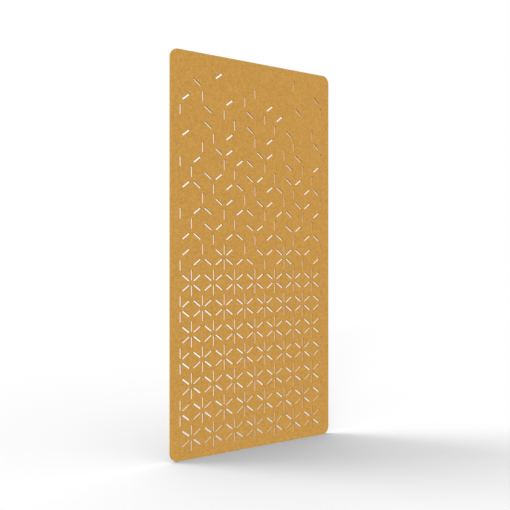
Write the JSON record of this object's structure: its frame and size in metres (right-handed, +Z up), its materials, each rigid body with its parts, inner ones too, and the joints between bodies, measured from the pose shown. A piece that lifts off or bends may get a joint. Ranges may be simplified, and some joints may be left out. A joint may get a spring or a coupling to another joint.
{
  "type": "hanging acoustic screen",
  "caption": "Tall thin felt screen with rounded corners, cut through by a star lattice of short slots that thins out upwards, hung by screw sockets in its top edge.",
  "frame": {"origin": "the middle of the top edge, halfway between the two screw sockets and halfway through the board's thickness", "axes": "+X along the top edge, to the right as seen from the front; +Z up; the front face looks along -Y"},
  "size_m": [1.2, 0.012, 2.4],
  "materials": {
    "ochre_felt": "matte",
    "ferrule_aluminium": "satin",
    "zinc_steel": "satin"
  },
  "bodies": {
    "root": {"felt_board": "ochre_felt", "edge_ferrules": "ferrule_aluminium", "barrel_nuts": "zinc_steel"}
  },
  "joints": []
}
